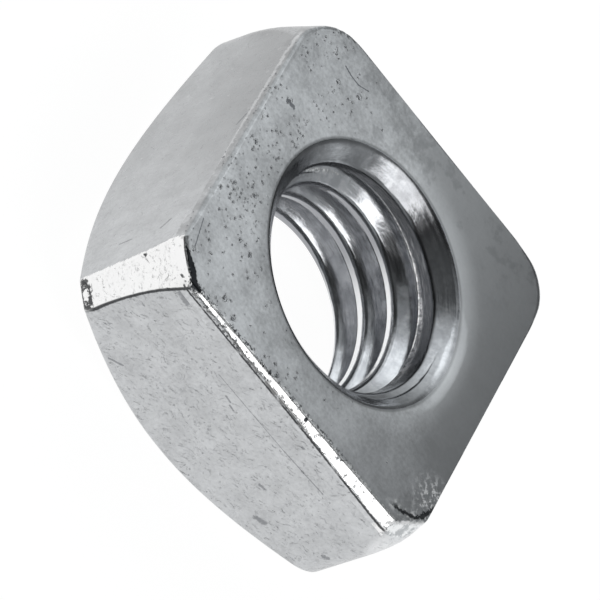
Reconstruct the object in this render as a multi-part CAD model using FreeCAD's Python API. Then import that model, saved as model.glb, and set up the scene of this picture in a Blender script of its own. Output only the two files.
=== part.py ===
import FreeCAD, Part
import math
import os

# Square nut, pressed from steel and tapped, lying on its chamfered face.
# Lengths are in millimetres and angles in degrees. The origin is the centre of
# the underside. +Z is the axis of the thread and leaves the bearing face.

# Body
across_flats = 10.0
nut_height = 4.45

# Chamfer round the underside, turned as a cone
chamfer_inset = 0.05
chamfer_angle = 32.4

# Tapped hole: a right-hand thread, cut oversize for plating
thread_diameter = 6.16
thread_pitch = 1.0
thread_depth_share = 0.505
root_flat_share = 0.125
flank_angle = 30.0
thread_start = 0.218

# Mouth of the hole: a countersink and a short flared lead-in, and a wider countersink underneath
countersink_lip = 0.34
countersink_angle = 98.0
lead_in_step = 0.245
lead_in_depth = 1.07
lead_in_flare = 8.0
underside_lip = 0.63
underside_angle = 102.0

# Upright corners: three rounded, two of those fuller below than at the bearing face, one flat
corner_radius = 0.75
back_crown_radius = 1.87
back_crown_spread = 14.0
front_crown_radius = 1.15
front_crown_spread = 11.0
right_corner_radius = 1.25
left_flat_width = 1.29
left_flat_lean = 4.8

# Broken edges of the bearing face; the near one has a steep foot and a worn facet that widens
edge_break = 0.10
near_edge_depth = 0.16
near_edge_pitch = 62.0
worn_facet_narrow = 0.10
worn_facet_wide = 0.32
worn_facet_pitch = 34.0

# Sizes that follow from those above
half_width = across_flats / 2.0
chamfer_circle = half_width - chamfer_inset
thread_radius = thread_diameter / 2.0
thread_depth = thread_depth_share * thread_pitch
bore_radius = thread_radius - thread_depth
countersink_radius = thread_radius + countersink_lip
lead_in_radius = thread_radius - lead_in_step
underside_radius = thread_radius + underside_lip
axis = FreeCAD.Vector(0, 0, 1)
centre = FreeCAD.Vector(0, 0, 0)


def near_corner(sx, sy, back_x, back_y):
    # A point of the outline, measured back from one sharp corner of the square.
    return FreeCAD.Vector(sx * (half_width - back_x), sy * (half_width - back_y), 0)


def corner_arc(sx, sy, radius, from_x, from_y):
    # The quarter arc that rounds one upright corner.
    middle = radius * (1.0 - math.sqrt(0.5))
    start = near_corner(sx, sy, from_x * radius, from_y * radius)
    end = near_corner(sx, sy, from_y * radius, from_x * radius)
    return Part.Arc(start, near_corner(sx, sy, middle, middle), end).toShape()


def pressed_blank():
    # Square prism with three of its upright corners rounded.
    left = near_corner(-1, -1, 0, 0)
    front_start = near_corner(1, -1, corner_radius, 0)
    front_end = near_corner(1, -1, 0, corner_radius)
    right_start = near_corner(1, 1, 0, right_corner_radius)
    right_end = near_corner(1, 1, right_corner_radius, 0)
    back_start = near_corner(-1, 1, corner_radius, 0)
    back_end = near_corner(-1, 1, 0, corner_radius)
    outline = Part.Wire([
        Part.makeLine(left, front_start),
        corner_arc(1, -1, corner_radius, 1, 0),
        Part.makeLine(front_end, right_start),
        corner_arc(1, 1, right_corner_radius, 0, 1),
        Part.makeLine(right_end, back_start),
        corner_arc(-1, 1, corner_radius, 1, 0),
        Part.makeLine(back_end, left),
    ])
    return Part.Face(outline).extrude(FreeCAD.Vector(0, 0, nut_height))


def break_bearing_edges(solid):
    # Every outer edge of the bearing face but the worn one gets one small chamfer.
    edges = []
    for edge in solid.Edges:
        box = edge.BoundBox
        on_top = box.ZMin > nut_height - 1e-6
        worn = box.YMax < -half_width + 1e-6
        if on_top and not worn:
            edges.append(edge)
    return solid.makeChamfer(edge_break, edges)


def crown_waste(sx, sy, radius, spread):
    # Steel missing at the top of a rounded corner: all that lies outside a cone that opens downwards.
    middle = near_corner(sx, sy, radius, radius)
    wide = radius + nut_height * math.tan(math.radians(spread))
    kept = Part.makeCone(wide, radius, nut_height, middle)
    side = 2.0 * radius
    low = FreeCAD.Vector(min(middle.x, middle.x + sx * side), min(middle.y, middle.y + sy * side), 0)
    return Part.makeBox(side, side, nut_height, low).cut(kept)


def block_beyond(point, normal):
    # Block that fills the space near the nut on the outer side of a plane.
    size = 2.0 * across_flats
    block = Part.makeBox(size, size, size, FreeCAD.Vector(-size / 2.0, -size / 2.0, 0))
    block.Placement = FreeCAD.Placement(point, FreeCAD.Rotation(FreeCAD.Vector(0, 0, 1), normal))
    return block


def near_edge_block():
    # Takes the near edge of the bearing face off steeply, to one depth along its length.
    pitch = math.radians(near_edge_pitch)
    point = FreeCAD.Vector(0, -half_width, nut_height - near_edge_depth)
    return block_beyond(point, FreeCAD.Vector(0, -math.sin(pitch), math.cos(pitch)))


def worn_facet_block():
    # Takes more off above that with a flatter plane, which reaches furthest at the front corner.
    pitch = math.radians(worn_facet_pitch)
    widening = (worn_facet_wide - worn_facet_narrow) / across_flats
    point = FreeCAD.Vector(-half_width, -half_width + worn_facet_narrow, nut_height)
    return block_beyond(point, FreeCAD.Vector(widening * math.sin(pitch), -math.sin(pitch), math.cos(pitch)))


def left_flat_block():
    # Takes off the left upright corner with a leaning plane, less towards the underside.
    from_axis = half_width * math.sqrt(2.0) - left_flat_width / 2.0
    point = FreeCAD.Vector(-from_axis / math.sqrt(2.0), -from_axis / math.sqrt(2.0), nut_height)
    lean = math.radians(left_flat_lean)
    outward = math.cos(lean) / math.sqrt(2.0)
    return block_beyond(point, FreeCAD.Vector(-outward, -outward, math.sin(lean)))


def chamfer_cone():
    # Solid of revolution that the blank must stay within: a cone that opens upwards.
    wide = across_flats
    rise = (wide - chamfer_circle) * math.tan(math.radians(chamfer_angle))
    top = max(rise, nut_height) + nut_height
    profile = Part.makePolygon([
        FreeCAD.Vector(0, 0, 0),
        FreeCAD.Vector(chamfer_circle, 0, 0),
        FreeCAD.Vector(wide, 0, rise),
        FreeCAD.Vector(wide, 0, top),
        FreeCAD.Vector(0, 0, top),
        FreeCAD.Vector(0, 0, 0),
    ])
    return Part.Face(profile).revolve(FreeCAD.Vector(0, 0, 0), FreeCAD.Vector(0, 0, 1), 360)


def drill_hole(solid):
    # The tapping hole is cut in four quarters, so each stretch of thread crest has its own face.
    for quarter in range(4):
        drill = Part.makeCylinder(bore_radius, 3.0 * nut_height, FreeCAD.Vector(0, 0, -nut_height), axis, 90)
        drill.rotate(centre, axis, 90.0 * quarter)
        solid = solid.cut(drill)
    return solid


def groove_half_turn(start):
    # Half a turn of the groove: a V with a flat root, swept along the helix from the bore outwards.
    inside = bore_radius - thread_depth / 3.0
    half_root = root_flat_share * thread_pitch / 2.0
    half_mouth = half_root + (thread_radius - inside) * math.tan(math.radians(flank_angle))
    profile = Part.makePolygon([
        FreeCAD.Vector(inside, 0, start - half_mouth),
        FreeCAD.Vector(thread_radius, 0, start - half_root),
        FreeCAD.Vector(thread_radius, 0, start + half_root),
        FreeCAD.Vector(inside, 0, start + half_mouth),
        FreeCAD.Vector(inside, 0, start - half_mouth),
    ])
    helix = Part.makeHelix(thread_pitch, thread_pitch / 2.0, bore_radius)
    helix.translate(FreeCAD.Vector(0, 0, start))
    return Part.Wire(helix.Edges).makePipeShell([profile], True, True)


def tap_hole(solid):
    # Cuts the groove half turn by half turn, from below the nut to above it.
    start = thread_start - 2.0 * thread_pitch
    half_turns = math.ceil(2.0 * (nut_height - start) / thread_pitch) + 1
    groove = groove_half_turn(start)
    for _ in range(half_turns):
        solid = solid.cut(groove)
        groove.rotate(centre, axis, 180.0)
        groove.translate(FreeCAD.Vector(0, 0, thread_pitch / 2.0))
    return solid


def lead_in():
    # A steep cone that opens upwards and takes the crest off the first turn of the thread.
    length = 2.0 * lead_in_depth
    opening = lead_in_radius + length * math.tan(math.radians(lead_in_flare))
    return Part.makeCone(lead_in_radius, opening, length, FreeCAD.Vector(0, 0, nut_height - lead_in_depth))


def countersink(face_height, direction, rim_radius, angle):
    # Cone with its point inside the hole, as wide at the face as the countersink's rim.
    slope = math.tan(math.radians(angle / 2.0))
    apex = FreeCAD.Vector(0, 0, face_height - direction * rim_radius / slope)
    wide = rim_radius + countersink_lip
    return Part.makeCone(0, wide, wide / slope, apex, FreeCAD.Vector(0, 0, direction))


nut = break_bearing_edges(pressed_blank())
nut = nut.cut(crown_waste(-1, 1, back_crown_radius, back_crown_spread))
nut = nut.cut(crown_waste(1, -1, front_crown_radius, front_crown_spread))
nut = nut.cut(near_edge_block())
nut = nut.cut(worn_facet_block())
nut = nut.cut(left_flat_block())
nut = nut.common(chamfer_cone())
nut = tap_hole(drill_hole(nut))
nut = nut.cut(lead_in())
nut = nut.cut(countersink(nut_height, 1, countersink_radius, countersink_angle))
nut = nut.cut(countersink(0, -1, underside_radius, underside_angle))
if nut.ShapeType != "Solid":
    nut = nut.Solids[0]

os.makedirs("parts", exist_ok=True)
nut.exportStep("parts/square_nut.step")
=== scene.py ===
import math

import bpy
import numpy as np
from mathutils import Matrix, Vector


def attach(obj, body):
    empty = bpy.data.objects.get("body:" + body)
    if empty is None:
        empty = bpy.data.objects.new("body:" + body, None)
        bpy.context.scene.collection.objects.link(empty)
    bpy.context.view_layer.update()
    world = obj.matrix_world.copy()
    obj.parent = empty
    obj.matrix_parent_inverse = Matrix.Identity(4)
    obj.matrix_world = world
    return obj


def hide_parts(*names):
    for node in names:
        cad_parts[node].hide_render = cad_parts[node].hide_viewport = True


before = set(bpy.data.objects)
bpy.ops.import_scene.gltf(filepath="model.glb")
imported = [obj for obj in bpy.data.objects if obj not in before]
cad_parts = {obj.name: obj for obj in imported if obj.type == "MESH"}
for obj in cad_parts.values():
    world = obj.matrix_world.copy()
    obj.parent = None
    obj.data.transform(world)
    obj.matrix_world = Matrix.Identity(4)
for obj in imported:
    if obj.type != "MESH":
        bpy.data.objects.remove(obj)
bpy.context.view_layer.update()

# The square nut. One piece of steel, pressed hot into a square blank, chamfered round its
# underside on a lathe, then drilled, countersunk on both faces and tapped right-hand.
# Its sizes are in millimetres; the mesh is written in metres.
half_width = 5.0
nut_height = 4.45
corner_radius = 0.75
back_crown_radius = 1.87
back_crown_spread = math.radians(14.0)
front_crown_radius = 1.15
front_crown_spread = math.radians(11.0)
right_corner_radius = 1.25
left_corner_radius = 0.25
left_flat_from_axis = half_width * math.sqrt(2.0) - 1.29 / 2.0
left_flat_lean = math.radians(4.8)
left_arch_middle = 2.9
left_arch_half_height = 1.45
left_arch_depth = 0.16
left_flat_flare = 0.07
near_edge_depth = 0.16
near_edge_pitch = math.radians(62.0)
worn_facet_narrow = 0.10
worn_facet_wide = 0.32
worn_facet_pitch = math.radians(34.0)
front_facet_from_axis = 6.27
front_facet_pitch = math.radians(52.0)
dish_radius = 4.15
dish_curve = 0.052
chamfer_circle = 4.95
chamfer_angle = math.radians(32.4)
thread_radius = 3.08
thread_pitch = 1.0
bore_radius = 2.575
thread_start = 0.218
lead_in_radius = 2.82
lead_in_depth = 1.07
lead_in_flare = math.radians(8.0)
countersink_radius = 3.42
countersink_half_angle = math.radians(49.0)
underside_radius = 3.71
underside_half_angle = math.radians(51.0)
rim_round = 0.035
rim_worn_round = 0.17
crisp_round = 0.04
back_crown_round = 0.15
front_crown_round = 0.12
front_facet_round = 0.10
face_round = 0.10
near_edge_round = 0.02
worn_facet_round = 0.015
chamfer_round = 0.06
thread_crest_round = 0.10


def rounded_edge(a, b, radius):
    # Two outside distances joined with a rounded edge between them.
    over = np.hypot(np.maximum(a + radius, 0.0), np.maximum(b + radius, 0.0))
    return np.minimum(np.maximum(a, b), -radius) + over


def ease(value, start, end):
    # Climbs softly from 0 at start to 1 at end.
    t = np.clip((value - start) / (end - start), 0.0, 1.0)
    return t * t * (3.0 - 2.0 * t)


def corner_crown(x, y, z, sx, sy, radius, spread):
    # How far a point is outside the cone that rounds the top of one upright corner.
    across = np.maximum(sx * x - half_width + radius, 0.0)
    along = np.maximum(sy * y - half_width + radius, 0.0)
    return (np.hypot(across, along) - radius - (nut_height - z) * math.tan(spread)) * math.cos(spread)


def outer_form(x, y, z):
    # How far a point is outside the blank, in millimetres.
    corner = np.where(x > 0, np.where(y > 0, right_corner_radius, corner_radius),
                      np.where(y > 0, corner_radius, left_corner_radius))
    sides = rounded_edge(np.abs(x) - half_width, np.abs(y) - half_width, corner)
    back_crown = corner_crown(x, y, z, -1, 1, back_crown_radius, back_crown_spread)
    sides = rounded_edge(sides, back_crown, back_crown_round)
    front_crown = corner_crown(x, y, z, 1, -1, front_crown_radius, front_crown_spread)
    sides = rounded_edge(sides, front_crown, front_crown_round)
    left_flat = (-x - y) / math.sqrt(2.0) - left_flat_from_axis
    left_flat = left_flat * math.cos(left_flat_lean) + (z - nut_height) * math.sin(left_flat_lean)
    arch = np.maximum(1.0 - ((z - left_arch_middle) / left_arch_half_height) ** 2, 0.0)
    left_flat = left_flat - left_arch_depth * arch * ease(x - y, 0.0, 0.9)
    left_flat = left_flat + left_flat_flare * ease(z, 3.3, 4.1) * ease(y - x, 0.2, 1.0)
    sides = rounded_edge(sides, left_flat, crisp_round)

    # The edge of the bearing face is tighter on the right, back and near sides and at the
    # front corner, and rolled wider along the left and at the right corner.
    front = (x - y) / math.sqrt(2.0)
    along_left = ease(-x, 3.9, 4.5) * ease(y, -4.3, -2.4) * ease(-y, -4.6, -3.6)
    roll = face_round - 0.06 * ease(np.maximum(x, y), 4.1, 4.7) - 0.07 * ease(-y, 4.2, 4.7)
    roll = roll + (0.08 - 0.020 * y) * along_left
    roll = roll - 0.06 * ease(front, 5.5, 6.0) + 0.12 * ease(x + y, 8.2, 9.0)
    above = z - nut_height
    near_edge = (-y - half_width) * math.sin(near_edge_pitch)
    near_edge = near_edge + (above + near_edge_depth) * math.cos(near_edge_pitch)
    along_near = (x + half_width) / (2.0 * half_width)
    worn = worn_facet_narrow + (worn_facet_wide - worn_facet_narrow) * along_near
    worn_facet = (-y - half_width + worn) * math.sin(worn_facet_pitch)
    worn_facet = worn_facet + above * math.cos(worn_facet_pitch)
    front_facet = (front - front_facet_from_axis) * math.sin(front_facet_pitch)
    front_facet = front_facet + above * math.cos(front_facet_pitch)
    dish = dish_curve * np.maximum(dish_radius - np.hypot(x, y), 0.0) ** 2
    body = rounded_edge(sides, front_facet, front_facet_round)
    body = rounded_edge(body, above + dish, roll)
    body = rounded_edge(body, near_edge, near_edge_round)
    body = rounded_edge(body, worn_facet, worn_facet_round)
    cone = (np.hypot(x, y) - chamfer_circle) * math.sin(chamfer_angle) - z * math.cos(chamfer_angle)
    body = rounded_edge(body, cone, chamfer_round)
    return rounded_edge(body, -z, crisp_round)


def hole_form(x, y, z):
    # How far a point is inside the open space of the tapped hole, in millimetres. The thread's
    # groove has flanks at 60 degrees and a flat root an eighth of the pitch wide.
    radius = np.hypot(x, y)
    turn = np.arctan2(y, x) / (2.0 * math.pi)
    along = (z - thread_start - thread_pitch * turn) / thread_pitch
    off_groove = np.abs(along - np.round(along)) * thread_pitch
    flank = (thread_radius - (off_groove - thread_pitch / 16.0) * math.sqrt(3.0) - radius) * 0.5
    groove = np.minimum(flank, thread_radius - radius)
    wall = rounded_edge(bore_radius - radius, groove, thread_crest_round)
    over_seat = z - nut_height + lead_in_depth
    flare = over_seat * math.tan(lead_in_flare)
    lead_in = np.minimum((lead_in_radius + flare - radius) * math.cos(lead_in_flare), over_seat)
    wall = rounded_edge(wall, lead_in, crisp_round)
    top = countersink_radius - (nut_height - z) * math.tan(countersink_half_angle) - radius
    wall = rounded_edge(wall, top * math.cos(countersink_half_angle), crisp_round)
    under = underside_radius - z * math.tan(underside_half_angle) - radius
    return rounded_edge(wall, under * math.cos(underside_half_angle), crisp_round)


def outside_steel(x, y, z):
    # The hole's rims are crisp, but worn soft on the right.
    rim = rim_round + rim_worn_round * ease(x, 2.75, 3.5) * ease(z, 3.0, 3.5)
    return rounded_edge(outer_form(x, y, z), hole_form(x, y, z), rim)


def meet_surface(start, way, near, far):
    # Moves out from points inside the steel along given ways until they reach its surface.
    halvings = 34
    low = np.full(start.shape[:-1], near)
    high = np.full(start.shape[:-1], far)
    for _ in range(halvings):
        middle = (low + high) / 2.0
        point = start + way * middle[..., None]
        out = outside_steel(point[..., 0], point[..., 1], point[..., 2]) > 0
        high = np.where(out, middle, high)
        low = np.where(out, low, middle)
    return start + way * low[..., None]


def closer_at_ends(start, end, count, power=1.7):
    # Steps from start to end, closer together near both ends.
    t = np.linspace(-1.0, 1.0, count)
    t = np.sign(t) * (1.0 - (1.0 - np.abs(t)) ** power)
    return start + (end - start) * (t + 1.0) / 2.0


# Columns of the mesh stand closer together round the upright corners, where the outline of
# the sides at half height bends most.
columns = 420
fine_steps = 7200
outline_height = 2.6
outline_length = 38.0
inside_outline = 4.2
bend_weight = 0.5
even_weight = 0.3
smooth_over = 40
full_turn = np.linspace(0.0, 2.0 * math.pi, fine_steps + 1)
fine = full_turn[:-1]
ray = np.stack([np.cos(fine), np.sin(fine), np.zeros_like(fine)], axis=-1)
outline = meet_surface(ray * inside_outline + np.array([0, 0, outline_height]), ray, 0.0, 4.0)
ahead = np.roll(outline, -1, axis=0) - outline
heading = np.unwrap(np.arctan2(ahead[:, 1], ahead[:, 0]))
bend = np.abs(np.append(np.diff(heading), 0.0))
share = np.hypot(ahead[:, 0], ahead[:, 1]) / outline_length
share = share + bend_weight * bend / (2.0 * math.pi) + even_weight / fine_steps
window = np.ones(2 * smooth_over + 1) / (2 * smooth_over + 1)
share = np.concatenate([share[-smooth_over:], share, share[:smooth_over]])
share = np.convolve(share, window, "valid")
total = np.concatenate([[0.0], np.cumsum(share)])
angle = np.interp(np.arange(columns) / columns * total[-1], total, full_turn)
facing = np.stack([np.cos(angle), np.sin(angle)], axis=-1)
reach = np.hypot(np.interp(angle, fine, outline[:, 0]), np.interp(angle, fine, outline[:, 1]))

# Rings run from the top of the thread over the bearing face, down the flats, in under the
# chamfer and up to the bottom of the thread.
thread_top = nut_height - (countersink_radius - thread_radius) / math.tan(countersink_half_angle)
thread_bottom = (underside_radius - thread_radius) / math.tan(underside_half_angle)
middle_radius = 4.05
middle_height = 2.30
chamfer_top = (reach - chamfer_circle) * math.tan(chamfer_angle)
path = []
for t in closer_at_ends(0.0, 1.0, 9)[1:-1]:
    path.append((thread_radius + (countersink_radius - thread_radius) * t + 0 * reach,
                 thread_top + (nut_height - thread_top) * t + 0 * reach))
for t in closer_at_ends(0.0, 1.0, 25, 2.2):
    path.append((countersink_radius + (reach - countersink_radius) * t, nut_height + 0 * reach))
for t in closer_at_ends(0.0, 1.0, 21, 2.2)[1:-1]:
    path.append((reach, nut_height + (chamfer_top - nut_height) * t))
for t in closer_at_ends(0.0, 1.0, 15, 1.9):
    path.append((reach + (chamfer_circle - reach) * t, chamfer_top * (1.0 - t)))
for t in closer_at_ends(0.0, 1.0, 9, 1.8)[1:]:
    path.append((chamfer_circle + (underside_radius - chamfer_circle) * t, 0 * reach))
for t in closer_at_ends(0.0, 1.0, 11)[1:-1]:
    path.append((underside_radius + (thread_radius - underside_radius) * t + 0 * reach,
                 thread_bottom * t + 0 * reach))

# Each ring is found from a circle in the middle of the steel.
rings = []
for radius, height in path:
    start = np.stack([middle_radius * facing[:, 0], middle_radius * facing[:, 1],
                      np.full(columns, middle_height)], axis=-1)
    goal = np.stack([radius * facing[:, 0], radius * facing[:, 1], height], axis=-1)
    way = goal - start
    rings.append(meet_surface(start, way, 0.3, 1.6))

# The thread's rows climb with its helix, so every crest and flank follows the mesh.
rows_in_pitch = 28
first_row = thread_bottom - thread_pitch - 0.02
row_count = int(math.ceil((thread_top - first_row) / thread_pitch * rows_in_pitch)) + 2
behind_thread = 3.95


def wall_points(height):
    # Points of the hole's wall at given heights, one to a column.
    start = np.stack([behind_thread * facing[:, 0], behind_thread * facing[:, 1], height], axis=-1)
    inward = np.stack([-facing[:, 0], -facing[:, 1], np.zeros(columns)], axis=-1)
    return meet_surface(start, inward, 0.0, 1.8)


top_ring = wall_points(np.full(columns, thread_top))
bottom_ring = wall_points(np.full(columns, thread_bottom))
rings = [top_ring] + rings + [bottom_ring]
points = np.concatenate(rings)
ring_total = len(rings)
turn_height = thread_pitch * angle / (2.0 * math.pi)
row_index = np.zeros((row_count, columns), int)
lowest = thread_bottom + 1e-4
highest = thread_top - 1e-4
extra = []
extra_count = 0
for k in range(row_count):
    height = first_row + k * thread_pitch / rows_in_pitch + turn_height
    placed = wall_points(np.clip(height, thread_bottom, thread_top))
    inside = (height > lowest) & (height < highest)
    index = np.arange(columns) + np.where(height <= lowest, (ring_total - 1) * columns, 0)
    index[inside] = len(points) + extra_count + np.arange(inside.sum())
    extra_count += inside.sum()
    extra.append(placed[inside])
    row_index[k] = index
points = np.concatenate([points] + extra)

faces = []
for j in range(ring_total - 1):
    for i in range(columns):
        n = (i + 1) % columns
        upper_row = j * columns
        lower_row = (j + 1) * columns
        faces.append((upper_row + i, lower_row + i, lower_row + n, upper_row + n))
for k in range(row_count - 1):
    for i in range(columns):
        a = row_index[k, i]
        b = row_index[k + 1, i]
        if i + 1 < columns:
            c = row_index[k + 1, i + 1]
            d = row_index[k, i + 1]
        else:
            c = row_index[min(k + 1 + rows_in_pitch, row_count - 1), 0]
            d = row_index[min(k + rows_in_pitch, row_count - 1), 0]
        loop = []
        for v in (a, b, c, d):
            if v not in loop:
                loop.append(int(v))
        if len(loop) > 2:
            faces.append(tuple(loop))

nut_mesh = bpy.data.meshes.new("finished_nut")
nut_mesh.from_pydata((points * 0.001).tolist(), [], faces)
nut_mesh.update()


def facing_out(point):
    # The direction straight out of the steel at points of its surface.
    step = 0.003
    slope = []
    for way in range(3):
        move = np.zeros(3)
        move[way] = step
        slope.append(outside_steel(*(point + move).T) - outside_steel(*(point - move).T))
    slope = np.stack(slope, axis=-1)
    return slope / np.linalg.norm(slope, axis=1)[:, None]


# Each corner of a face takes the true direction of the surface; across a sharp edge it is
# read a little inside the face.
sharp_fold = 0.8
corner_point = np.zeros(len(nut_mesh.loops), int)
nut_mesh.loops.foreach_get("vertex_index", corner_point)
sides_of_face = np.zeros(len(nut_mesh.polygons), int)
nut_mesh.polygons.foreach_get("loop_total", sides_of_face)
face_of_corner = np.repeat(np.arange(len(sides_of_face)), sides_of_face)
point_normal = facing_out(points)
corner_normal = point_normal[corner_point]
face_centre = np.zeros((len(sides_of_face), 3))
np.add.at(face_centre, face_of_corner, points[corner_point])
face_centre /= sides_of_face[:, None]
face_normal = facing_out(face_centre)
apart = np.einsum("ij,ij->i", corner_normal, face_normal[face_of_corner])
widest = np.ones(len(sides_of_face))
np.minimum.at(widest, face_of_corner, apart)
sharp = (widest < sharp_fold)[face_of_corner]
inset = points[corner_point[sharp]] * 0.4 + face_centre[face_of_corner[sharp]] * 0.6
corner_normal[sharp] = facing_out(inset)
nut_mesh.shade_smooth()
nut_mesh.normals_split_custom_set(corner_normal.tolist())
nut = bpy.data.objects.new("finished_nut", nut_mesh)
bpy.context.scene.collection.objects.link(nut)


# The nut is finished in three parts: the faces of its hole, those round the bearing face and
# its edges, and those of the sides and underside.
lower_mouth_height = 0.6
face_finish_height = 4.10
centre_radius = np.hypot(face_centre[:, 0], face_centre[:, 1])
centre_height = face_centre[:, 2]
in_lower_mouth = (centre_radius < underside_radius) & (centre_height < lower_mouth_height)
in_hole = (centre_radius < countersink_radius) | in_lower_mouth
finish_of_face = np.where(in_hole, 0, np.where(centre_height > face_finish_height, 1, 2))
nut_mesh.polygons.foreach_set("material_index", finish_of_face)


def open_finish(name):
    # A new bright metal finish of the nut.
    finish = bpy.data.materials.new(name)
    finish.use_nodes = True
    finish.node_tree.nodes["Principled BSDF"].inputs["Metallic"].default_value = 1.0
    nut_mesh.materials.append(finish)
    return finish.node_tree.nodes, finish.node_tree.links


def close_finish(colour, roughness, height):
    # Gives the open finish its colour, its gloss and its shallow relief.
    metal = nodes["Principled BSDF"]
    links.new(colour, metal.inputs["Base Color"])
    links.new(roughness, metal.inputs["Roughness"])
    relief = add("Bump", {"Height": height, "Strength": 0.6, "Distance": 0.00002})
    links.new(relief.outputs["Normal"], metal.inputs["Normal"])


def add(kind, inputs, **settings):
    # A node of the material with its inputs linked or set.
    node = nodes.new("ShaderNode" + kind)
    for key, value in settings.items():
        setattr(node, key, value)
    for key, value in inputs.items():
        if isinstance(value, bpy.types.NodeSocket):
            links.new(value, node.inputs[key])
        else:
            node.inputs[key].default_value = value
    return node


def sums(operation, *terms):
    # One step of reckoning with numbers in the material.
    return add("Math", dict(enumerate(terms)), operation=operation).outputs[0]


def between(value, start, end, low=0.0, high=1.0):
    # Goes softly from low to high as the value goes from start to end.
    limits = {"Value": value, "From Min": start, "From Max": end, "To Min": low, "To Max": high}
    return add("MapRange", limits, interpolation_type="SMOOTHSTEP").outputs["Result"]


def both(*masks):
    # Where all of the masks are seen.
    together = masks[0]
    for mask in masks[1:]:
        together = sums("MULTIPLY", together, mask)
    return together


def either(*masks):
    # Where any of the masks is seen.
    together = masks[0]
    for mask in masks[1:]:
        together = sums("MAXIMUM", together, mask)
    return together


def cloud(place, scale, detail, rough=0.5):
    # Soft random patches.
    look = {"Vector": place, "Scale": scale, "Detail": detail, "Roughness": rough}
    return add("TexNoise", look).outputs["Fac"]


def vector(operation, *terms):
    # One step of reckoning with places and directions.
    return add("VectorMath", dict(enumerate(terms)), operation=operation).outputs


def stretched(place, turn, size):
    # A place turned first and then stretched.
    turned = add("VectorRotate", {"Vector": place, "Rotation": turn}, rotation_type="EULER_XYZ")
    return vector("MULTIPLY", turned.outputs["Vector"], size)[0]


def distance_past(normal):
    # How far a point of the nut lies along a direction, in millimetres.
    return vector("DOT_PRODUCT", mm, normal)["Value"]


def pits(place, per_mm, share, size):
    # Scattered small hollows of uneven outline, and the raised rims round them.
    wobble = add("TexNoise", {"Vector": place, "Scale": per_mm * 2.6, "Detail": 2.0}).outputs["Color"]
    moved = vector("MULTIPLY_ADD", wobble, (0.55 / per_mm,) * 3, place)[0]
    cells = add("TexVoronoi", {"Vector": moved, "Scale": per_mm}, feature="F1").outputs
    chance = add("SeparateColor", {"Color": cells["Color"]}).outputs
    reach = sums("MULTIPLY", chance["Green"], size)
    kept = sums("LESS_THAN", chance["Red"], share)
    inside = both(between(cells["Distance"], reach, sums("MULTIPLY", reach, 0.45)), kept)
    round_it = between(cells["Distance"], sums("MULTIPLY", reach, 1.4), reach)
    return inside, sums("SUBTRACT", both(round_it, kept), inside)


def mark(start, end, width):
    # A scratch or dent between two places on the surface, with a ragged outline.
    way = Vector(end) - Vector(start)
    from_start = vector("SUBTRACT", mm, start)[0]
    share = vector("DOT_PRODUCT", from_start, tuple(way / way.length_squared))["Value"]
    share = add("Math", {0: share, 1: 0.0}, operation="ADD", use_clamp=True).outputs[0]
    nearest = add("VectorMath", {0: tuple(way), "Scale": share}, operation="SCALE").outputs[0]
    gap = vector("DISTANCE", from_start, nearest)["Value"]
    return between(sums("MULTIPLY_ADD", ragged, width * 2.2, gap), width, width * 0.5)


def cluster(centre, start, end):
    # Fades from 1 to 0 with the distance from one place, in millimetres.
    return between(vector("DISTANCE", mm, centre)["Value"], end, start)


def blend(amount, below, above):
    # One colour laid over another where the mask is seen.
    return add("Mix", {0: amount, 6: below, 7: above}, data_type="RGBA").outputs[2]


def position():
    # The place on the nut in millimetres, whole and by its three axes.
    place = add("TexCoord", {}).outputs["Object"]
    mm = add("Mapping", {"Vector": place, "Scale": (1000.0, 1000.0, 1000.0)}).outputs["Vector"]
    return mm, add("SeparateXYZ", {"Vector": mm}).outputs


# A grey that paints shade on the upper left side and on the rolled edge of the bearing face.
painted_shade_grey = (0.30, 0.305, 0.31, 1.0)


def on_left_side():
    # The flat of the nut beyond the struck corner.
    return between(axes["X"], -half_width + 0.06, -half_width + 0.03)


def unevenness():
    # What makes the outline of every mark and border ragged.
    return sums("SUBTRACT", cloud(mm, 13.0, 4.0, 0.7), 0.5)


def plated(darkest, palest):
    # The plate's fine grain and its pale, blotched colour, with painted shade that darkens the upper
    # half of the left side and the rounded back corner.
    grain = cloud(mm, 9.0, 4.0, 0.6)
    blotch = cloud(mm, 1.2, 4.0, 0.6)
    mixed = sums("MULTIPLY_ADD", grain, 0.45, sums("MULTIPLY", blotch, 0.55))
    tone = add("ValToRGB", {"Fac": mixed}).outputs["Color"]
    ramp = tone.node.color_ramp
    ramp.elements[0].position = 0.38
    ramp.elements[0].color = (darkest * 0.98, darkest, darkest * 1.02, 1.0)
    ramp.elements[1].position = 0.62
    ramp.elements[1].color = (palest * 0.98, palest, palest * 1.02, 1.0)
    # Painted shade: the upper half of the left side is darkened.
    shade = both(between(axes["Y"], -4.5, 1.8), between(axes["Z"], 1.2, 3.9, 0.36, 0.70))
    tone = blend(both(on_left_side(), shade), tone, painted_shade_grey)
    # Painted shade: the rounded back corner is darkened just under the bearing face.
    on_back_crown = between(distance_past((-0.7071, 0.7071, 0.249)), 7.00, 7.36, 0.0, 0.55)
    under_face = between(axes["Z"], nut_height - 0.02, nut_height - 0.12)
    tone = blend(both(on_back_crown, under_face), tone, (0.27, 0.275, 0.28, 1.0))
    return grain, blotch, tone


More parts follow.
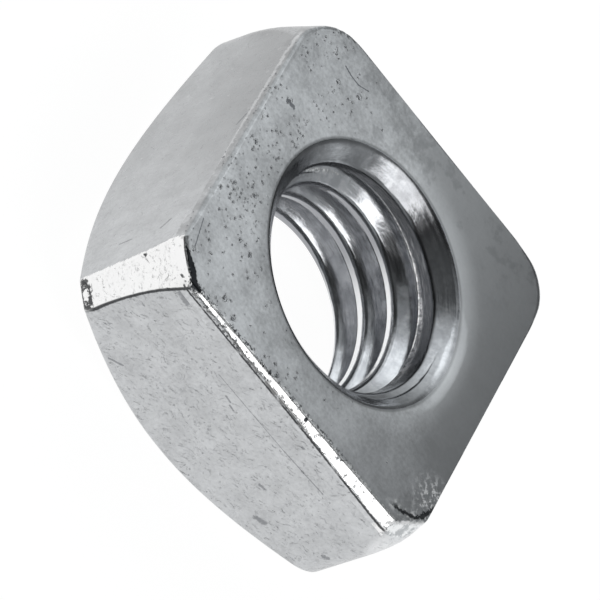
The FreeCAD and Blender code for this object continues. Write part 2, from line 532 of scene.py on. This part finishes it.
def struck_corner():
    # How far a point lies past the struck left corner, where that corner is bare metal that takes a
    # painted highlight, and the painted shade in the crease along the near side.
    lean = left_flat_lean
    sideways = -math.cos(lean) / math.sqrt(2.0)
    flat_way = (sideways, sideways, math.sin(lean))
    flat_at = left_flat_from_axis * math.cos(lean) + nut_height * math.sin(lean)
    toward_near = distance_past((1.0, -1.0, 0.0))
    arch = sums("MULTIPLY_ADD", axes["Z"], 1.0 / left_arch_half_height,
                -left_arch_middle / left_arch_half_height)
    arch = sums("MAXIMUM", sums("SUBTRACT", 1.0, sums("MULTIPLY", arch, arch)), 0.0)
    arch = both(arch, between(toward_near, 0.0, 0.9))
    flare = both(between(axes["Z"], 3.3, 4.1), between(toward_near, -0.2, -1.0))
    past = sums("SUBTRACT", distance_past(flat_way), flat_at)
    past = sums("MULTIPLY_ADD", flare, left_flat_flare, past)
    past = sums("MULTIPLY_ADD", arch, -left_arch_depth, past)
    bare = between(sums("MULTIPLY_ADD", ragged, 0.15, past), -0.040, -0.025)
    # Painted shade in the crease along the near side.
    crease_shade = both(between(sums("MULTIPLY_ADD", ragged, 0.05, past), -0.090, -0.060),
                  between(past, -0.005, -0.020),
                  between(axes["Y"], -half_width + 0.06, -half_width + 0.03),
                  between(axes["Z"], 1.0, 1.4))
    return past, bare, crease_shade


def all_marks(marks):
    # Several marks as one mask.
    return either(*(mark(start, end, width) for start, end, width in marks))


def soft_rim(start, end, left, right):
    # The dark line of the hole's rim, which is fainter on the worn right-hand side.
    return both(between(radius, start, end), between(axes["X"], 2.4, 3.2, left, right))


# Inside the hole the plate is shiny and faintly mottled, with fine tool rings. The thread's crests
# and the foot of the short wall above them are rubbed bright, with a painted highlight, and the
# crests carry painted shade on their left part. The rest of that wall, the back of the countersink
# and the side towards the front corner are darker, by painted shade.
# Bare metal, painted near white as a highlight wherever it is laid.
bare_metal_highlight = (0.97, 0.97, 0.97, 1.0)
rim_shadow = (0.12, 0.125, 0.13, 1.0)
nodes, links = open_finish("plated hole")
mm, axes = position()
radius = vector("LENGTH", vector("MULTIPLY", mm, (1.0, 1.0, 0.0))[0])["Value"]
turn = sums("ARCTAN2", axes["Y"], axes["X"])
ring_place = add("CombineXYZ", {"X": sums("MULTIPLY", radius, 16.0), "Y": sums("MULTIPLY", turn, 1.6),
                                "Z": sums("MULTIPLY", axes["Z"], 16.0)}).outputs[0]
rings_seen = cloud(ring_place, 1.0, 3.0, 0.6)
ripple = cloud(stretched(mm, (0.0, 0.0, 0.0), (1.0, 1.0, 2.5)), 1.7, 3.0)
mottle = between(cloud(mm, 2.4, 4.0, 0.6), 0.38, 0.64)
shiny = blend(mottle, (0.46, 0.47, 0.49, 1.0), (0.60, 0.61, 0.63, 1.0))
crest = between(radius, 2.64, 2.585)
# Painted highlight and shade on the crests: bright on the right, darker on the left.
crest_highlight_and_shade = blend(between(axes["X"], 0.6, 2.1), (0.36, 0.37, 0.39, 1.0), (0.92, 0.93, 0.94, 1.0))
wall = both(between(radius, 2.80, 2.84), between(radius, 2.97, 2.91),
            between(axes["Z"], nut_height - 1.08, nut_height - 1.02))
# Painted shade on the short wall above the thread, darkest towards the near side.
wall_shade = both(wall, between(axes["Y"], 0.5, -1.0, 0.7, 0.95))
shiny = blend(wall_shade, shiny, (0.20, 0.205, 0.215, 1.0))
# Painted highlight on the rubbed foot of that wall.
rubbed_wall_highlight = both(wall, between(axes["Z"], nut_height - 0.74, nut_height - 0.84),
                   between(cloud(mm, 9.0, 3.0, 0.7), 0.44, 0.56, 0.25, 1.0))
# Painted shade on the back of the countersink.
back_sink_shade = both(between(distance_past((-0.75, 0.66, 0.0)), 1.3, 2.2),
                 between(axes["Z"], nut_height - 0.62, nut_height - 0.52),
                 between(cloud(mm, 1.9, 4.0, 0.6), 0.40, 0.60, 0.55, 0.90))
shiny = blend(back_sink_shade, shiny, (0.25, 0.255, 0.265, 1.0))
shiny = blend(crest, shiny, crest_highlight_and_shade)
shiny = blend(rubbed_wall_highlight, shiny, bare_metal_highlight)
# Painted shade on the side of the hole towards the front corner.
front_side_shade = both(between(distance_past((0.60, -0.80, 0.0)), 1.4, 2.6), 0.55)
shiny = blend(front_side_shade, shiny, (0.25, 0.255, 0.26, 1.0))
rim = soft_rim(countersink_radius - 0.13, countersink_radius - 0.04, 0.6, 0.42)
shiny = blend(rim, shiny, rim_shadow)
height = sums("MULTIPLY_ADD", rings_seen, 0.14, sums("MULTIPLY", ripple, 1.1))
close_finish(shiny, between(rings_seen, 0.3, 0.7, 0.16, 0.24), height)

# The bearing face is plain plate, darkened towards the right by painted shade. Its pits crowd near
# the left and back edges. Single marks run from one place to another with a half width: a dent by the
# left edge, a curved scratch near the back corner and a streak beside the struck corner.
pit_grey = (0.12, 0.125, 0.14, 1.0)
dirt_and_shade_black = (0.025, 0.027, 0.030, 1.0)
raised_metal = (0.86, 0.87, 0.88, 1.0)
nodes, links = open_finish("plated bearing face")
mm, axes = position()
grain, _, tone = plated(0.43, 0.70)
toward_right = distance_past((0.85, 0.53, 0.0))
# Painted shade: the plate's tone is darkened towards the right.
tone = blend(between(toward_right, 1.2, 3.0, 0.0, 0.85), tone, (0.49, 0.50, 0.51, 1.0))
ragged = unevenness()
crowd = between(cloud(mm, 0.8, 2.0), 0.40, 0.66, 0.04, 0.34)
for centre, start, end, amount in (
    ((-4.5, -1.6, nut_height), 0.3, 1.9, 0.70),
    ((-4.5, 0.8, nut_height), 0.3, 1.7, 0.42),
    ((-3.4, 3.9, nut_height), 0.4, 2.2, 0.42),
):
    crowd = sums("MULTIPLY_ADD", cluster(centre, start, end), amount, crowd)
crowd = both(crowd, between(toward_right, 1.6, -2.5))
round_pits, round_rims = pits(mm, 4.2, sums("MULTIPLY", crowd, 0.7), 0.34)
fine_pits, fine_rims = pits(mm, 9.5, crowd, 0.40)
face_marks = all_marks((
    ((-4.36, 1.70, nut_height), (-4.12, 1.71, nut_height), 0.075),
    ((-3.41, 4.07, nut_height), (-3.16, 4.01, nut_height), 0.030),
    ((-3.16, 4.01, nut_height), (-2.84, 4.00, nut_height), 0.026),
    ((-2.84, 4.00, nut_height), (-2.49, 4.14, nut_height), 0.024),
    ((-4.76, -3.18, nut_height), (-4.58, -4.00, nut_height), 0.022),
))
pitted = either(round_pits, fine_pits)
rims = either(round_rims, fine_rims)
rough = sums("MULTIPLY", grain, between(toward_right, 1.0, -2.5, 0.0, 0.08))
height = sums("MULTIPLY_ADD", rims, 0.5, sums("SUBTRACT", rough, pitted))

# The struck corner ends in a black rolled lip at the bearing face.
past_flat, struck, crease_shade = struck_corner()
lip_border = between(distance_past((1.0, -1.0, 0.0)), -0.90, 0.30, -0.04, -0.26)
lip = sums("MULTIPLY_ADD", ragged, 0.16, past_flat)
lip = between(lip, lip_border, sums("ADD", lip_border, 0.03))
lip_foot = between(distance_past((-0.156, 0.156, 1.0)), 4.22, 4.28)
lip = both(lip, lip_foot, sums("SUBTRACT", 1.0, struck))

# The near edge is worn to a facet, painted darker, with a painted highlight on its upper part down
# to the fold between it and the steep foot. Its borders are speckled and torn, by larger tears on
# top of the ragged outline, and a painted shade line runs under it. A black dot and one wide tear
# lie on it.
slope_x = (worn_facet_wide - worn_facet_narrow) / (2.0 * half_width) * math.sin(worn_facet_pitch)
facet_way = (slope_x, -math.sin(worn_facet_pitch), math.cos(worn_facet_pitch))
facet_at = (half_width - (worn_facet_narrow + worn_facet_wide) / 2.0) * math.sin(worn_facet_pitch)
facet_at += nut_height * math.cos(worn_facet_pitch)
past_facet = sums("SUBTRACT", distance_past(facet_way), facet_at)
torn = sums("ADD", ragged, sums("SUBTRACT", cloud(mm, 3.4, 3.0, 0.6), 0.5))
worn = between(sums("MULTIPLY_ADD", torn, 0.16, past_facet), -0.034, -0.018)
past_fold = distance_past((0.0, 0.704, 0.710))
fold_at = -0.704 * half_width + 0.710 * nut_height
widened = sums("ADD", past_fold, between(axes["X"], 0.2, 2.6, 0.0, 0.17))
upper = between(sums("MULTIPLY_ADD", torn, 0.18, widened), fold_at - 0.012, fold_at + 0.012)
upper = both(upper, between(cloud(mm, 7.0, 3.0, 0.7), 0.62, 0.57))
black_dot = cluster((0.54, -4.81, 4.40), 0.045, 0.085)
tear = mark((-4.12, -4.84, nut_height), (-3.86, -4.86, nut_height), 0.13)
specks = both(between(cloud(mm, 10.0, 3.0, 0.6), 0.50, 0.56), between(axes["X"], 3.6, 1.5))
upper_border = between(sums("MULTIPLY_ADD", ragged, 0.12, past_facet), -0.080, -0.050)
upper_border = both(upper_border, sums("SUBTRACT", 1.0, worn), specks)
lower_border = sums("MULTIPLY_ADD", ragged, 0.06, past_fold)
lower_border = between(lower_border, fold_at - 0.045, fold_at - 0.020)
near_band = between(axes["Y"], -half_width + 0.36, -half_width + 0.30)
lower_border = both(lower_border, sums("SUBTRACT", 1.0, upper), specks, near_band)
border = either(upper_border, lower_border)
# Painted shade: a dark line under the near edge.
line_at = between(axes["X"], 0.5, 4.5, nut_height - 0.190, nut_height - 0.245)
off_line = sums("SUBTRACT", sums("MULTIPLY_ADD", ragged, 0.06, axes["Z"]), line_at)
line_width = between(axes["X"], -2.0, 4.0, 0.034, 0.045)
under_shade_line = between(sums("ABSOLUTE", off_line), line_width, sums("MULTIPLY", line_width, 0.5))
under_shade_line = both(under_shade_line, between(axes["Y"], -half_width + 0.09, -half_width + 0.05),
                  between(cloud(mm, 2.2, 2.0), 0.36, 0.46, 0.45, 1.0))

# The front corner is worn to a small facet of its own, pale and blotched, with a painted highlight
# along the ridge of its upper border. A dark torn arc lies on the bearing face round its tip, between
# scuffs.
rubbed_metal_and_highlight = (0.93, 0.93, 0.93, 1.0)
arc_centre = (3.90, -3.30, 0.0)
arc_radius = 1.03
level = vector("MULTIPLY", mm, (1.0, 1.0, 0.0))[0]
from_centre = sums("MULTIPLY_ADD", torn, 0.26, vector("DISTANCE", level, arc_centre)["Value"])
off_arc = sums("ABSOLUTE", sums("SUBTRACT", from_centre, arc_radius))
toward_front = distance_past((0.7071, -0.7071, 0.0))
arc = both(between(off_arc, 0.080, 0.040), between(toward_front, 5.74, 5.90),
           between(axes["Z"], nut_height - 0.35, nut_height - 0.15))
foot = between(sums("MULTIPLY_ADD", ragged, 0.10, toward_front),
               front_facet_from_axis - 0.01, front_facet_from_axis + 0.03)
# Painted highlight along the ridge of the front facet's upper border.
ridge_highlight = sums("SUBTRACT", sums("MULTIPLY_ADD", ragged, 0.16, toward_front), front_facet_from_axis)
ridge_highlight = both(between(sums("ABSOLUTE", ridge_highlight), 0.055, 0.02), between(cloud(mm, 6.0, 2.0), 0.40, 0.50))
by_arc = both(between(off_arc, 0.26, 0.10), between(toward_front, 5.55, 5.80))
scuffed = either(cluster((4.85, -3.3, nut_height), 0.2, 1.0), sums("MULTIPLY", by_arc, 0.8))
scuffed = both(scuffed, between(cloud(mm, 7.0, 4.0, 0.7), 0.50, 0.60))
# Real scuffs together with the ridge's painted highlight.
scuffs_and_ridge_highlight = either(scuffed, ridge_highlight)

# The bearing face runs over into the left side with a patchy roll darkened by painted shade, and a
# soft painted highlight line below it.
# Painted highlight: a soft pale line below the roll.
line_height = sums("MULTIPLY_ADD", axes["Y"], 0.04, 4.16)
off_line = sums("SUBTRACT", sums("MULTIPLY_ADD", torn, 0.22, axes["Z"]), line_height)
left_highlight_line = both(between(sums("ABSOLUTE", off_line), 0.075, 0.02),
                 between(axes["X"], -half_width + 0.12, -half_width + 0.06))
# Painted shade darkens the roll.
rolled = between(sums("MULTIPLY_ADD", torn, 0.20, axes["X"]), -half_width + 0.26, -half_width + 0.12)
rolled = both(rolled, between(cloud(mm, 2.6, 4.0, 0.65), 0.38, 0.62, 0.16, 0.60))

# The face's colours are laid over one another: paler near the front, the roll's painted shade and
# painted highlight line, the worn edges, the painted shadow of the hole's rim, stains towards the
# back, pits and marks, bare metal with painted highlights, and dirt with painted shade over all.
paler = both(cluster((2.9, -4.6, nut_height), 0.6, 3.0), 0.25)
colour = blend(paler, tone, (0.80, 0.81, 0.83, 1.0))
colour = blend(rolled, colour, painted_shade_grey)
colour = blend(both(left_highlight_line, 0.42), colour, (0.80, 0.81, 0.82, 1.0))
foot_tone = between(cloud(mm, 4.5, 4.0, 0.7), 0.40, 0.58)
foot_tone = blend(foot_tone, (0.50, 0.51, 0.52, 1.0), rubbed_metal_and_highlight)
colour = blend(foot, colour, foot_tone)
colour = blend(both(rims, 0.22), colour, raised_metal)
radius = vector("LENGTH", level)["Value"]
rim = soft_rim(countersink_radius + 0.10, countersink_radius + 0.03, 0.6, 0.40)
colour = blend(rim, colour, rim_shadow)
stain = both(between(cloud(mm, 1.7, 4.0, 0.65), 0.52, 0.66),
             between(distance_past((-0.2, 0.98, 0.0)), 1.5, 4.0, 0.03, 0.34))
colour = blend(stain, colour, (0.22, 0.225, 0.235, 1.0))
colour = blend(both(pitted, 0.68), colour, pit_grey)
colour = blend(both(face_marks, 0.80), colour, (0.10, 0.105, 0.12, 1.0))
# The worn facet is painted darker; its upper part and the struck corner are bare metal painted near
# white as a highlight.
colour = blend(worn, colour, (0.25, 0.25, 0.25, 1.0))
colour = blend(either(struck, both(worn, upper)), colour, bare_metal_highlight)
colour = blend(scuffs_and_ridge_highlight, colour, rubbed_metal_and_highlight)
# Dirt, with painted shade in the crease and under the near edge.
dirt_and_shade = either(both(either(crease_shade, under_shade_line), 0.92), both(border, 0.88), black_dot, tear,
              both(arc, 0.90), lip)
colour = blend(dirt_and_shade, colour, dirt_and_shade_black)
gloss = sums("MULTIPLY_ADD", scuffs_and_ridge_highlight, 0.35, between(grain, 0.3, 0.7, 0.29, 0.31))
close_finish(colour, gloss, height)

# The sides carry short shallow streaks that lie aslant, most of them on the near side, where a
# long scratch and a few dents stand out. The left side has three nicks, and the struck corner
# one, with a torn loop at its lower end.
nodes, links = open_finish("plated sides")
mm, axes = position()
grain, blotch, tone = plated(0.49, 0.635)
ragged = unevenness()
uneven = add("TexNoise", {"Vector": mm, "Scale": 1.6, "Detail": 2.0}).outputs["Color"]
uneven = vector("MULTIPLY_ADD", uneven, (0.8, 0.8, 0.8), mm)[0]
slant = stretched(uneven, (0.0, math.radians(23.0), 0.0), (4.2, 4.2, 11.0))
scuffs = between(cloud(slant, 1.3, 4.0, 0.7), 0.56, 0.72)
mottle = between(cloud(uneven, 4.5, 3.0, 0.7), 0.50, 0.72, 0.0, 0.5)
small_pits, small_rims = pits(mm, 6.5, between(blotch, 0.35, 0.65, 0.02, 0.16), 0.36)
marred = either(scuffs, mottle, small_pits)
marred = both(marred, sums("SUBTRACT", 1.0, both(on_left_side(), 0.70)))
patchy = between(cloud(mm, 0.9, 3.0), 0.40, 0.60, 0.25, 1.0)
side_marks = all_marks((
    ((-1.55, -half_width, 3.28), (1.10, -half_width, 3.33), 0.014),
    ((1.10, -half_width, 3.33), (2.60, -half_width, 3.42), 0.022),
    ((-0.90, -half_width, 3.00), (-0.70, -half_width, 2.98), 0.035),
    ((-0.62, -half_width, 2.90), (-0.46, -half_width, 2.88), 0.035),
    ((-4.02, -half_width, 4.04), (-3.72, -half_width, 3.99), 0.120),
    ((1.78, -half_width, 1.95), (1.96, -half_width, 1.98), 0.055),
    ((2.66, -half_width, 1.12), (2.86, -half_width, 1.22), 0.100),
    ((4.32, -half_width, 2.06), (4.40, -half_width, 2.12), 0.085),
    ((-2.96, -half_width, 0.72), (-2.66, -half_width, 0.92), 0.045),
    ((-half_width, -3.45, 1.95), (-half_width, -3.42, 2.35), 0.030),
    ((-half_width, -3.35, 3.30), (-half_width, -3.10, 3.50), 0.040),
    ((-half_width, 0.28, 3.97), (-half_width, 0.64, 4.13), 0.035),
    ((1.15, -half_width, 3.90), (1.20, -half_width, 3.90), 0.050),
))
_, struck, crease_shade = struck_corner()
nick = mark((-4.97, -4.27, 3.20), (-4.95, -4.29, 3.24), 0.055)
loop_half_width = 0.31
loop_half_height = 0.14
loop_across = 0.05
loop_height = 1.25
across = distance_past((0.7071, -0.7071, 0.0))
across = sums("MULTIPLY_ADD", across, 1.0 / loop_half_width, -loop_across / loop_half_width)
along = sums("MULTIPLY_ADD", axes["Z"], 1.0 / loop_half_height, -loop_height / loop_half_height)
torn_loop = vector("LENGTH", add("CombineXYZ", {"X": across, "Y": along}).outputs[0])["Value"]
torn_loop = sums("SUBTRACT", sums("MULTIPLY_ADD", ragged, 2.2, torn_loop), 1.0)
torn_loop = both(between(sums("ABSOLUTE", torn_loop), 0.52, 0.24), struck)
front_foot = between(distance_past((0.7071, -0.7071, 0.246)), 7.44, 7.58)
colour = blend(both(front_foot, 0.60), tone, raised_metal)
colour = blend(both(small_rims, 0.16), colour, raised_metal)
colour = blend(both(marred, patchy, 0.50), colour, pit_grey)
colour = blend(both(side_marks, 0.60), colour, pit_grey)
# Painted highlight: the struck corner's bare metal is painted near white.
colour = blend(struck, colour, bare_metal_highlight)
speckled = both(between(cloud(mm, 7.0, 3.0, 0.6), 0.60, 0.70), struck)
# Dirt and nicks, with painted shade in the crease along the near side.
dirt_and_shade = either(both(either(crease_shade, nick, torn_loop), 0.92), both(speckled, 0.14))
colour = blend(dirt_and_shade, colour, dirt_and_shade_black)
height = sums("SUBTRACT", sums("MULTIPLY", grain, 0.07), marred)
close_finish(colour, between(grain, 0.3, 0.7, 0.27, 0.32), height)
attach(nut, "root")
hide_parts("square_nut")

# The surface that the nut lies on: a plain white sheet, white in reflections too.
bpy.ops.mesh.primitive_plane_add(size=2.0, location=(0.0, 0.0, 0.0))
sheet = bpy.context.object
sheet.name = "white_sheet"
paper = bpy.data.materials.new("white sheet")
paper.use_nodes = True
nodes = paper.node_tree.nodes
links = paper.node_tree.links
nodes.remove(nodes["Principled BSDF"])
matt = add("BsdfDiffuse", {"Color": (0.80, 0.80, 0.80, 1.0)}).outputs["BSDF"]
faint = add("BsdfDiffuse", {"Color": (0.10, 0.10, 0.10, 1.0)}).outputs["BSDF"]
glow = add("Emission", {"Strength": 0.96}).outputs["Emission"]
white = add("AddShader", {0: faint, 1: glow}).outputs["Shader"]
kind = add("LightPath", {}).outputs
plainly_seen = either(kind["Is Camera Ray"], kind["Is Glossy Ray"], kind["Is Transmission Ray"])
look = add("MixShader", {"Fac": plainly_seen, 1: matt, 2: white}).outputs["Shader"]
links.new(look, nodes["Material Output"].inputs["Surface"])
sheet.data.materials.append(paper)

# Soft studio light: a dim room that is pale on the far left and in a few smaller patches, one
# lamp over the front corner, and a pale card hung close over the far side, whose edge makes the
# bearing face darker towards the right.
scene = bpy.context.scene
room = bpy.data.worlds.new("studio")
room.use_nodes = True
nodes = room.node_tree.nodes
links = room.node_tree.links
sky = nodes["Background"]
sky.inputs["Color"].default_value = (0.95, 0.985, 1.0, 1.0)
way = add("TexCoord", {}).outputs["Generated"]


def side_lit(toward, start, end, amount):
    # Brightness of the room that climbs towards one direction.
    seen = vector("DOT_PRODUCT", way, tuple(Vector(toward).normalized()))["Value"]
    limits = {"Value": seen, "From Min": start, "From Max": end, "To Min": 0.0, "To Max": amount}
    return add("MapRange", limits).outputs[0]


brightness = 0.02
for toward, start, end, amount in (
    ((-0.62, 0.60, 0.50), 0.76, 0.97, 0.86),
    ((-0.20, 0.97, 0.12), 0.75, 1.0, 0.30),
    ((0.92, -0.12, 0.36), 0.55, 0.96, 0.42),
    ((-0.50, -0.35, 0.80), 0.89, 0.99, 0.07),
    ((0.38, 0.66, 0.65), 0.80, 0.97, 0.07),
    ((0.38, -0.92, 0.12), 0.85, 0.98, 0.60),
    ((1.00, 0.06, 0.05), 0.95, 1.0, 0.70),
    ((-0.33, 0.10, 0.94), 0.955, 0.995, 0.36),
):
    brightness = sums("ADD", brightness, side_lit(toward, start, end, amount))
links.new(brightness, sky.inputs["Strength"])
scene.world = room


def soft_lamp(name, place, aim, width, height, brightness, colour):
    # A square-cornered lamp that shines from its place at the aim.
    way = (Vector(place) - Vector(aim)).normalized()
    data = bpy.data.lights.new(name, "AREA")
    data.shape = "RECTANGLE"
    data.size = width
    data.size_y = height
    data.color = colour
    data.energy = brightness * math.pi * width * height
    lamp = bpy.data.objects.new(name, data)
    lamp.location = place
    lamp.rotation_euler = way.to_track_quat("Z", "Y").to_euler()
    scene.collection.objects.link(lamp)


soft_lamp("front lamp", (0.092, -0.080, 0.158), (0.0, 0.0, 0.002),
          0.125, 0.100, 2.3, (1.0, 1.0, 1.0))
soft_lamp("far card", (0.0, 0.01875, 0.0265), (0.0, 0.01875, 0.0),
          0.029, 0.0195, 0.90, (0.955, 0.985, 1.0))

# The camera looks down on the nut at the photograph's angle, rolled to match it. The middle of
# the bearing face lies where the photograph has it.
nut_width = half_width * 2.0 * 0.001
distance_in_widths = 25.6
picture_pixels = 600.0
pixels_across = 408.0
face_pixel_across = 366.3
face_pixel_down = 273.4
sensor_width = 36.0
right = Vector((0.5843, 0.3683, 0.7232))
up = Vector((-0.7150, 0.6551, 0.2441))
back = right.cross(up).normalized()
up = back.cross(right).normalized()
right = up.cross(back).normalized()
lens_data = bpy.data.cameras.new("camera")
lens_data.sensor_width = sensor_width
lens_data.lens = pixels_across * distance_in_widths / picture_pixels * sensor_width
lens_data.clip_start = 0.02
camera = bpy.data.objects.new("camera", lens_data)
shift_right = picture_pixels / 2.0 - face_pixel_across
shift_up = face_pixel_down - picture_pixels / 2.0
stand = Vector((0.0, 0.0, nut_height * 0.001)) + back * distance_in_widths * nut_width
stand += (right * shift_right + up * shift_up) / pixels_across * nut_width
camera.matrix_world = Matrix.Translation(stand) @ Matrix((right, up, back)).transposed().to_4x4()
scene.collection.objects.link(camera)
scene.camera = camera
scene.view_settings.view_transform = "Standard"
